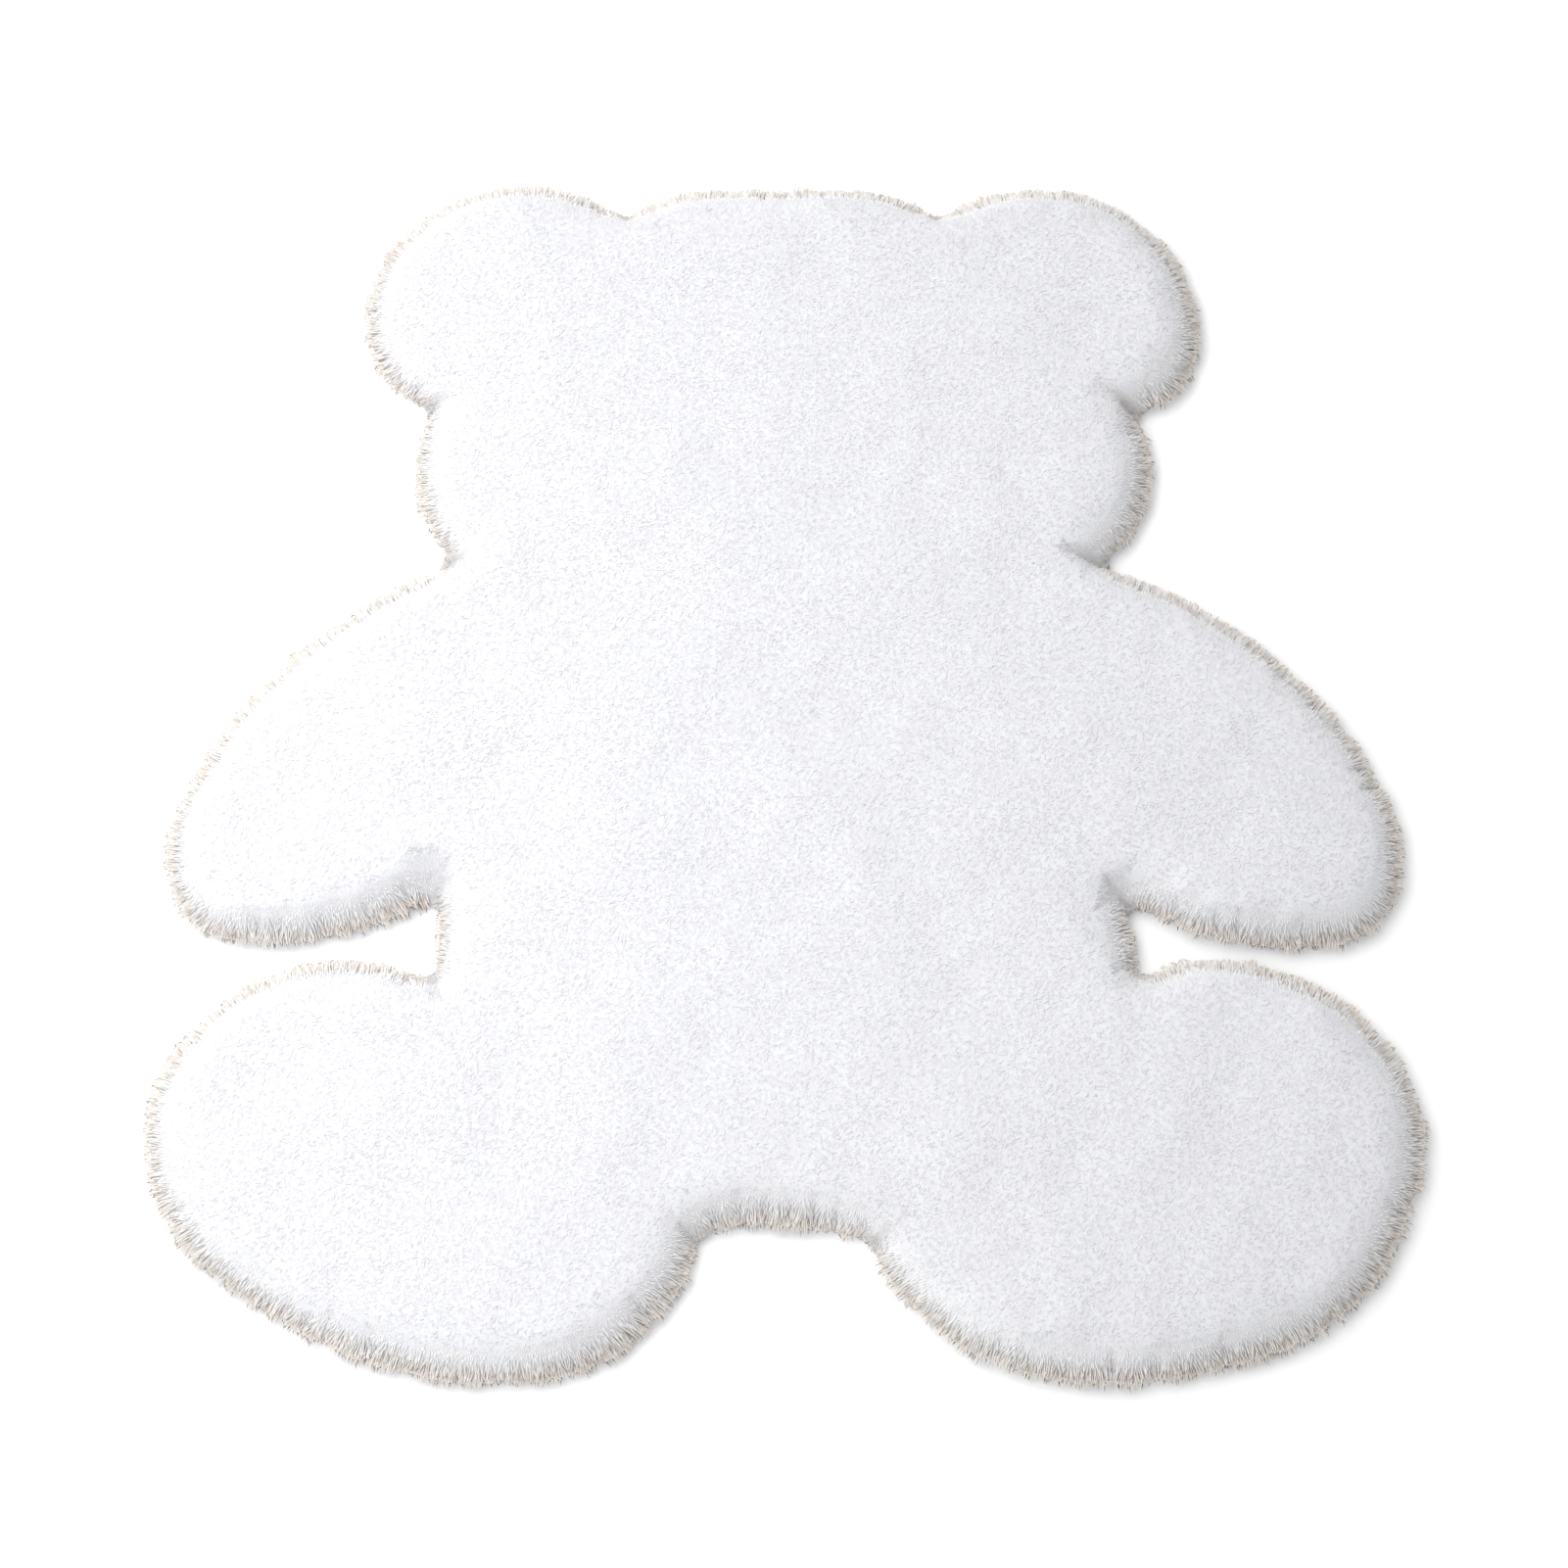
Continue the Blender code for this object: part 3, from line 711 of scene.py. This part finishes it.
    # the nap: which way the pile is brushed, changing slowly across the rug
    place = addNode(tree, "GeometryNodeInputPosition").outputs[0]
    napScale = addNode(tree, "ShaderNodeMath", {0: 1.0, 1: given["Nap Size"]},
                       operation="DIVIDE").outputs[0]
    noise = addNode(tree, "ShaderNodeTexNoise", {
        "Vector": place, "Scale": napScale, "Detail": 2.0, "Roughness": 0.6})
    centred = addNode(tree, vector, {0: noise.outputs["Color"], 1: (0.5, 0.5, 0.5)},
                      operation="SUBTRACT").outputs[0]
    drift = addNode(tree, vector, {0: centred, 1: (2.0, 2.0, 0.0)}, operation="MULTIPLY").outputs[0]
    uneven = addNode(tree, vector, {0: drift, "Scale": given["Nap"]}, operation="SCALE").outputs[0]
    even = addNode(tree, vector, {0: (0.0, 1.0, 0.0), "Scale": given["Brush"]},
                   operation="SCALE").outputs[0]
    both = addNode(tree, vector, {0: uneven, 1: even}, operation="ADD").outputs[0]
    stroke = addNode(tree, vector, {0: both, 1: combed}, operation="ADD").outputs[0]
    brushed = addNode(tree, vector, {0: stroke, "Scale": notRim}, operation="SCALE").outputs[0]
    parted = addNode(tree, vector, {0: read["parting"], "Scale": given["Parting"]},
                     operation="SCALE").outputs[0]
    nap = addNode(tree, vector, {0: brushed, 1: parted}, operation="ADD").outputs[0]

    # clumps: neighbouring tips draw together, most of all at the rim, into locks
    coat = addNode(tree, "GeometryNodeSeparateGeometry", {
        "Geometry": given["Geometry"], "Selection": upper}, domain="FACE").outputs[0]
    heart = addNode(tree, "GeometryNodeDistributePointsOnFaces", {
        "Mesh": coat, "Distance Min": given["Clump Spacing"], "Density Max": hair["mostClumps"],
        "Seed": given["Seed"]}, distribute_method="POISSON").outputs[0]
    nearest = addNode(tree, "GeometryNodeSampleNearest", {"Geometry": heart}, domain="POINT")
    middle = addNode(tree, "GeometryNodeSampleIndex", {
        "Geometry": heart, "Value": place, "Index": nearest.outputs[0]},
        data_type="FLOAT_VECTOR", domain="POINT").outputs[0]
    toMiddle = addNode(tree, vector, {0: middle, 1: place}, operation="SUBTRACT").outputs[0]
    apart = addNode(tree, vector, {0: toMiddle}, operation="LENGTH").outputs["Value"]
    clumpSize = addNode(tree, "ShaderNodeMath", {
        0: given["Clump Spacing"], 1: hair["clumpReach"]}, operation="MULTIPLY").outputs[0]
    outer = addNode(tree, "ShaderNodeMath", {0: apart, 1: clumpSize},
                    operation="DIVIDE", use_clamp=True).outputs[0]
    gap = addNode(tree, "ShaderNodeMath", {0: outer, 1: hair["gapPower"]},
                  operation="POWER").outputs[0]
    lock = addNode(tree, "FunctionNodeRandomValue", {
        2: 0.0, 3: 1.0, "ID": nearest.outputs[0], "Seed": hair["lockSeed"]},
        data_type="FLOAT").outputs[1]
    more = addNode(tree, "ShaderNodeMath", {0: rim, 1: given["Rim Clump Pull"]},
                   operation="MULTIPLY").outputs[0]
    pull = addNode(tree, "ShaderNodeMath", {0: more, 1: given["Clump Pull"]},
                   operation="ADD").outputs[0]
    clump = addNode(tree, vector, {0: toMiddle, "Scale": pull}, operation="SCALE").outputs[0]

    # each hair's direction, with its flat side up
    anyWay = addNode(tree, "FunctionNodeRandomValue", {
        0: (-1.0, -1.0, 0.0), 1: (1.0, 1.0, 0.0), "Seed": given["Seed"]},
        data_type="FLOAT_VECTOR").outputs[0]
    stray = addNode(tree, vector, {0: anyWay}, operation="NORMALIZE").outputs[0]
    tidy = addNode(tree, "ShaderNodeMath", {0: rim, 1: flank}, operation="MAXIMUM").outputs[0]
    tousled = addNode(tree, "ShaderNodeMix", {
        "Factor": tidy, 2: given["Fluff"], 3: given["Rim Fluff"]}, data_type="FLOAT").outputs[0]
    fluff = addNode(tree, vector, {0: stray, "Scale": tousled}, operation="SCALE").outputs[0]
    lean = addNode(tree, vector, {0: nap, 1: fluff}, operation="ADD").outputs[0]
    strayed = addNode(tree, vector, {0: facing, 1: lean}, operation="ADD").outputs[0]
    along = addNode(tree, "FunctionNodeAlignRotationToVector", {"Vector": strayed},
                    axis="Z").outputs[0]
    level = addNode(tree, "FunctionNodeAlignRotationToVector", {
        "Rotation": along, "Vector": (0.0, 0.0, -1.0)}, axis="X", pivot_axis="Z").outputs[0]
    turn = addNode(tree, "FunctionNodeRandomValue", {
        2: -hair["turn"], 3: hair["turn"], "Seed": hair["turnSeed"]},
        data_type="FLOAT").outputs[1]
    spin = addNode(tree, "FunctionNodeAxisAngleToRotation", {
        "Axis": (0.0, 0.0, 1.0), "Angle": turn}).outputs[0]
    turned = addNode(tree, "FunctionNodeRotateRotation", {"Rotation": level, "Rotate By": spin},
                     rotation_space="LOCAL").outputs[0]

    # each hair's size
    outermost = addNode(tree, "ShaderNodeMath", {0: rim, 1: hair["outerPower"]},
                        operation="POWER").outputs[0]
    raggedScale = addNode(tree, "ShaderNodeMath", {0: 1.0, 1: given["Ragged Size"]},
                          operation="DIVIDE").outputs[0]
    lumps = addNode(tree, "ShaderNodeTexNoise", {
        "Vector": place, "Scale": raggedScale, "Detail": 2.0, "Roughness": 0.6}).outputs["Fac"]
    shorter = addNode(tree, "ShaderNodeMath", {0: 1.0, 1: given["Ragged"]},
                      operation="SUBTRACT").outputs[0]
    longer = addNode(tree, "ShaderNodeMath", {0: 1.0, 1: given["Ragged"]},
                     operation="ADD").outputs[0]
    lowest, highest = hair["lumps"]
    ragged = addNode(tree, "ShaderNodeMapRange", {
        "Value": lumps, "From Min": lowest, "From Max": highest, "To Min": shorter,
        "To Max": longer}).outputs[0]
    untrimmed = addNode(tree, "ShaderNodeMath", {0: 1.0, 1: given["Notch Trim"]},
                        operation="SUBTRACT").outputs[0]
    trimmed = addNode(tree, "ShaderNodeMapRange", {
        "Value": read["notch"], "To Min": 1.0, "To Max": untrimmed}).outputs[0]
    lumpy = addNode(tree, "ShaderNodeMath", {0: trimmed, 1: ragged},
                    operation="MULTIPLY").outputs[0]
    rimLength = addNode(tree, "ShaderNodeMath", {0: given["Rim Length"], 1: lumpy},
                        operation="MULTIPLY").outputs[0]
    length = addNode(tree, "ShaderNodeMix", {
        "Factor": outermost, 2: given["Hair Length"], 3: rimLength},
        data_type="FLOAT").outputs[0]
    width = addNode(tree, "ShaderNodeMix", {
        "Factor": read["isRim"], 2: given["Hair Width"], 3: given["Rim Width"]},
        data_type="FLOAT").outputs[0]
    tone = addNode(tree, "FunctionNodeRandomValue", {2: 0.0, 3: 1.0, "Seed": hair["toneSeed"]},
                   data_type="FLOAT").outputs[1]
    least = addNode(tree, "ShaderNodeMath", {0: 1.0, 1: given["Length Spread"]},
                    operation="SUBTRACT").outputs[0]
    most = addNode(tree, "ShaderNodeMath", {0: 1.0, 1: given["Length Spread"]},
                   operation="ADD").outputs[0]
    stretch = addNode(tree, "FunctionNodeRandomValue", {
        2: least, 3: most, "Seed": hair["lengthSeed"]}, data_type="FLOAT").outputs[1]
    long = addNode(tree, "ShaderNodeMath", {0: length, 1: stretch}, operation="MULTIPLY").outputs[0]
    size = addNode(tree, "ShaderNodeCombineXYZ", {"X": width, "Y": width, "Z": long}).outputs[0]

    # how each hair bends: further over, down at the rim, in to its clump
    hang = addNode(tree, "ShaderNodeMath", {0: outermost, 1: given["Droop"]},
                   operation="MULTIPLY").outputs[0]
    drop = addNode(tree, "ShaderNodeMath", {0: hang, 1: long}, operation="MULTIPLY").outputs[0]
    down = addNode(tree, "ShaderNodeMath", {0: drop, 1: -1.0}, operation="MULTIPLY").outputs[0]
    droop = addNode(tree, "ShaderNodeCombineXYZ", {"Z": down}).outputs[0]
    further = addNode(tree, "ShaderNodeMath", {0: long, 1: notRim}, operation="MULTIPLY").outputs[0]
    over = addNode(tree, vector, {0: lean, "Scale": further}, operation="SCALE").outputs[0]
    drawn = addNode(tree, vector, {0: droop, 1: clump}, operation="ADD").outputs[0]
    bend = addNode(tree, vector, {0: drawn, 1: over}, operation="ADD").outputs[0]

    stored = roots.outputs[0]
    for name, value, kind in (("bend", bend, "FLOAT_VECTOR"), ("tone", tone, "FLOAT"),
                              ("rim", rim, "FLOAT"), ("gap", gap, "FLOAT"),
                              ("lock", lock, "FLOAT")):
        stored = addNode(tree, "GeometryNodeStoreNamedAttribute", {
            "Geometry": stored, "Name": name, "Value": value}, data_type=kind).outputs[0]
    hairs = addNode(tree, "GeometryNodeJoinGeometry")
    for pattern in (longHair, shortHair):  # the last one linked comes first
        shape = addNode(tree, "GeometryNodeObjectInfo", {"Object": pattern, "As Instance": True})
        tree.links.new(shape.outputs["Geometry"], hairs.inputs[0])
    which = addNode(tree, "FunctionNodeFloatToInt", {0: read["isRim"]}).outputs[0]
    planted = addNode(tree, "GeometryNodeInstanceOnPoints", {
        "Points": stored, "Instance": hairs.outputs[0], "Pick Instance": True,
        "Instance Index": which, "Rotation": turned, "Scale": size}).outputs[0]
    real = addNode(tree, "GeometryNodeRealizeInstances", {"Geometry": planted}).outputs[0]

    # the bend grows with the square of the way to the tip
    square = addNode(tree, "ShaderNodeMath", {0: read["share"], 1: read["share"]},
                     operation="MULTIPLY").outputs[0]
    offset = addNode(tree, vector, {0: read["bend"], "Scale": square}, operation="SCALE").outputs[0]
    bent = addNode(tree, "GeometryNodeSetPosition", {"Geometry": real, "Offset": offset}).outputs[0]
    parts = addNode(tree, "ShaderNodeSeparateXYZ", {0: place})
    high = addNode(tree, "ShaderNodeMath", {0: parts.outputs["Z"], 1: given["Least Height"]},
                   operation="MAXIMUM").outputs[0]
    lifted = addNode(tree, "ShaderNodeCombineXYZ", {
        "X": parts.outputs["X"], "Y": parts.outputs["Y"], "Z": high}).outputs[0]
    rests = addNode(tree, "GeometryNodeSetPosition", {
        "Geometry": bent, "Position": lifted}).outputs[0]
    for name in ("isRim", "bend", "inset", "region", "parting", "notch"):
        rests = addNode(tree, "GeometryNodeRemoveAttribute", {
            "Geometry": rests, "Name": name}).outputs[0]
    # the rug seen from above, stored as a flat map on every corner
    seen = addNode(tree, vector, {0: place, 1: (0.5, 0.5, 0.0)}, operation="ADD").outputs[0]
    mapped = addNode(tree, "GeometryNodeStoreNamedAttribute", {
        "Geometry": rests, "Name": "OFBake", "Value": seen}, data_type="FLOAT2", domain="CORNER")
    smooth = addNode(tree, "GeometryNodeSetShadeSmooth", {
        "Geometry": mapped.outputs[0], "Shade Smooth": True}).outputs[0]
    dyed = addNode(tree, "GeometryNodeSetMaterial", {
        "Geometry": smooth, "Material": material}).outputs[0]
    addNode(tree, "NodeGroupOutput", {"Geometry": dyed})
    return tree


def shadeSoftly(mesh):
    # free normals, part way from each hair's own to those of the coat around it
    coat = np.empty((len(mesh.vertices), 3), np.float32)
    own = np.empty((len(mesh.vertices), 3), np.float32)
    mesh.attributes["facing"].data.foreach_get("vector", coat.ravel())
    mesh.vertex_normals.foreach_get("vector", own.ravel())
    softness = hair["softness"]
    mixed = coat * softness + own * (1 - softness) + np.array([0, 0, hair["lift"]])
    mixed /= np.linalg.norm(mixed, axis=1, keepdims=True)
    mesh.normals_split_custom_set_from_vertices(mixed)
    mesh.attributes.remove(mesh.attributes["facing"])


def growPile():
    shortHair = hairShape("shortHair", hair["shortRings"])
    longHair = hairShape("longHair", hair["longRings"])
    material = plushHair()
    tree = growHairs(shortHair, longHair, material)
    sockets = {item.name: item.identifier for item in tree.interface.items_tree}
    grown = []
    for number, region in enumerate(regions):
        emitter = addObject("emitter", body.data)
        modifier = emitter.modifiers.new("growHairs", "NODES")
        modifier.node_group = tree
        modifier[sockets["Region"]] = number
        for name, value in pile.items():
            modifier[sockets[name]] = value
        depsgraph = bpy.context.evaluated_depsgraph_get()
        mesh = bpy.data.meshes.new_from_object(emitter.evaluated_get(depsgraph))
        bpy.data.objects.remove(emitter)
        mesh.name = "pile_" + region[0]
        shadeSoftly(mesh)
        piece = addObject("pile_" + region[0], mesh)
        grown.append(piece)
        mesh.calc_loop_triangles()
        print("grew", piece.name, "of", len(mesh.loop_triangles), "triangles")
    for pattern in (shortHair, longHair):
        bpy.data.objects.remove(pattern)
    return grown


grown = growPile()


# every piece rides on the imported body, and the pieces together replace its plain slab

for piece in (cloth, body, *grown):
    addToRug(piece)


# floor, lights and camera

studio = {
    "floor": "#FFFFFF",
    "floorSize": 30.0,
    "floorGrain": 40.0,  # how fine the faint unevenness of its paint is, in spots to a metre
    "floorRoughness": (0.85, 0.95),
    "sky": 0.93,  # strength of the white light from all round
    "skyToward": (-0.58, 0.27, 0.0),  # and how much stronger it is from the upper left
    "horizon": (0.04, 0.2),  # heights between which that starts, so that the horizon stays white
    "keyPower": 4.7,  # of each of the two square lamps
    "keySize": 0.9,
    "keyPlaces": ((-0.56, 0.6, 0.93), (-0.55, -0.38, 0.95)),
    "keySlant": (0.06, -0.02, -0.88),  # the way both face
    "cameraPlace": (0.0, -1.1393, 2.3684),
    "cameraAim": (0.0, -0.0405, 0.012),
    "lens": 77.17,  # in millimetres, as the sensor's width is
    "sensor": 36,
}


def layFloor():
    half = studio["floorSize"] / 2
    corners = [(-half, -half, 0), (half, -half, 0), (half, half, 0), (-half, half, 0)]
    mesh = bpy.data.meshes.new("floor")
    mesh.from_pydata(corners, [], [(0, 1, 2, 3)])
    # smooth matt painted floor, a little uneven in its gloss
    material, tree, shader = newMaterial("paleStudioFloor", {
        "Base Color": linear(studio["floor"]), "Specular IOR Level": 0.2})
    grain = addNode(tree, "ShaderNodeTexNoise", {"Scale": studio["floorGrain"], "Detail": 3.0})
    sleek, dull = studio["floorRoughness"]
    rough = addNode(tree, "ShaderNodeMapRange", {
        "Value": grain.outputs["Fac"], "To Min": sleek, "To Max": dull})
    tree.links.new(rough.outputs[0], shader.inputs["Roughness"])
    mesh.materials.append(material)
    floor = addObject("floor", mesh)


def aimAt(thing, place, aim):
    thing.location = place
    thing.rotation_euler = (Vector(aim) - Vector(place)).to_track_quat("-Z", "Y").to_euler()


def setLights():
    world = bpy.data.worlds.new("studio")
    world.use_nodes = True
    tree = world.node_tree
    background = tree.nodes["Background"]
    background.inputs["Color"].default_value = (1, 1, 1, 1)
    way = addNode(tree, "ShaderNodeTexCoord").outputs["Generated"]
    slant = addNode(tree, "ShaderNodeVectorMath", {0: way, 1: studio["skyToward"]},
                    operation="DOT_PRODUCT").outputs["Value"]
    parts = addNode(tree, "ShaderNodeSeparateXYZ", {0: way})
    lowest, highest = studio["horizon"]
    above = addNode(tree, "ShaderNodeMapRange", {
        "Value": parts.outputs["Z"], "From Min": lowest, "From Max": highest}).outputs[0]
    side = addNode(tree, "ShaderNodeMath", {0: slant, 1: above}, operation="MULTIPLY").outputs[0]
    strength = addNode(tree, "ShaderNodeMath", {0: side, 1: studio["sky"], 2: studio["sky"]},
                       operation="MULTIPLY_ADD").outputs[0]
    tree.links.new(strength, background.inputs["Strength"])
    bpy.context.scene.world = world
    lamp = bpy.data.lights.new("softKey", "AREA")
    lamp.shape = "SQUARE"
    lamp.size = studio["keySize"]
    lamp.energy = studio["keyPower"]
    for place in studio["keyPlaces"]:
        key = addObject("softKey", lamp)
        key.visible_camera = False
        aimAt(key, place, Vector(place) + Vector(studio["keySlant"]))


def setCamera():
    camera = addObject("camera", bpy.data.cameras.new("camera"))
    camera.data.sensor_width = studio["sensor"]
    camera.data.lens = studio["lens"]
    aimAt(camera, studio["cameraPlace"], studio["cameraAim"])
    bpy.context.scene.camera = camera
    bpy.context.scene.view_settings.view_transform = "Standard"


layFloor()
setLights()
setCamera()
print("set the floor, lights and camera")
